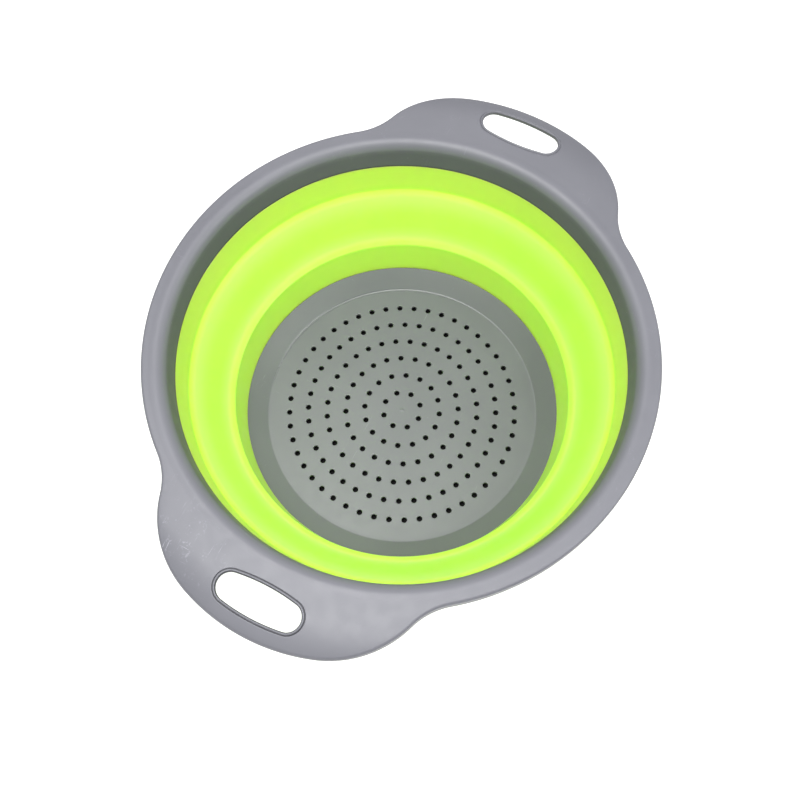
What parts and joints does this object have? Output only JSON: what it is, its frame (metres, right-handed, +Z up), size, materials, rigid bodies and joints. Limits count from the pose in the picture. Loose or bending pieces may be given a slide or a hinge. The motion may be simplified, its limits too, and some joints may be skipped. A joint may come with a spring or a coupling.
{
  "type": "collapsible colander",
  "caption": "Round folding colander: a stiff rim with two slotted handles, a soft wall that folds flat at two creases, and a perforated dish base.",
  "frame": {"origin": "centre of the foot ring's underside, on the table", "axes": "+Z up, +X towards one handle, opened out"},
  "size_m": [0.2936, 0.24, 0.0937],
  "materials": {
    "grey_plastic": "satin moulded polypropylene",
    "green_silicone": "smooth satin silicone",
    "base_plastic": "satin moulded polypropylene"
  },
  "bodies": {
    "base": {"base_ring": "base_plastic", "strainer_plate": "base_plastic", "lower_wall_band": "green_silicone", "lower_crease": "green_silicone"},
    "middle": {"middle_wall_band": "green_silicone"},
    "rim": {"rim_frame": "grey_plastic", "upper_wall_band": "green_silicone", "upper_crease": "green_silicone"}
  },
  "joints": [
    {"name": "rim_fold", "type": "slide", "parent": "base", "child": "rim", "axis": [0, 0, -1], "range_m": [0, 0.0496], "deforming": ["upper_crease", "lower_crease"]},
    {"name": "middle_fold", "type": "slide", "parent": "base", "child": "middle", "axis": [0, 0, -1], "range_m": [0, 0.0248]}
  ],
  "couplings": [
    {"joint": "middle_fold", "follows": "rim_fold", "ratio": 0.5}
  ]
}
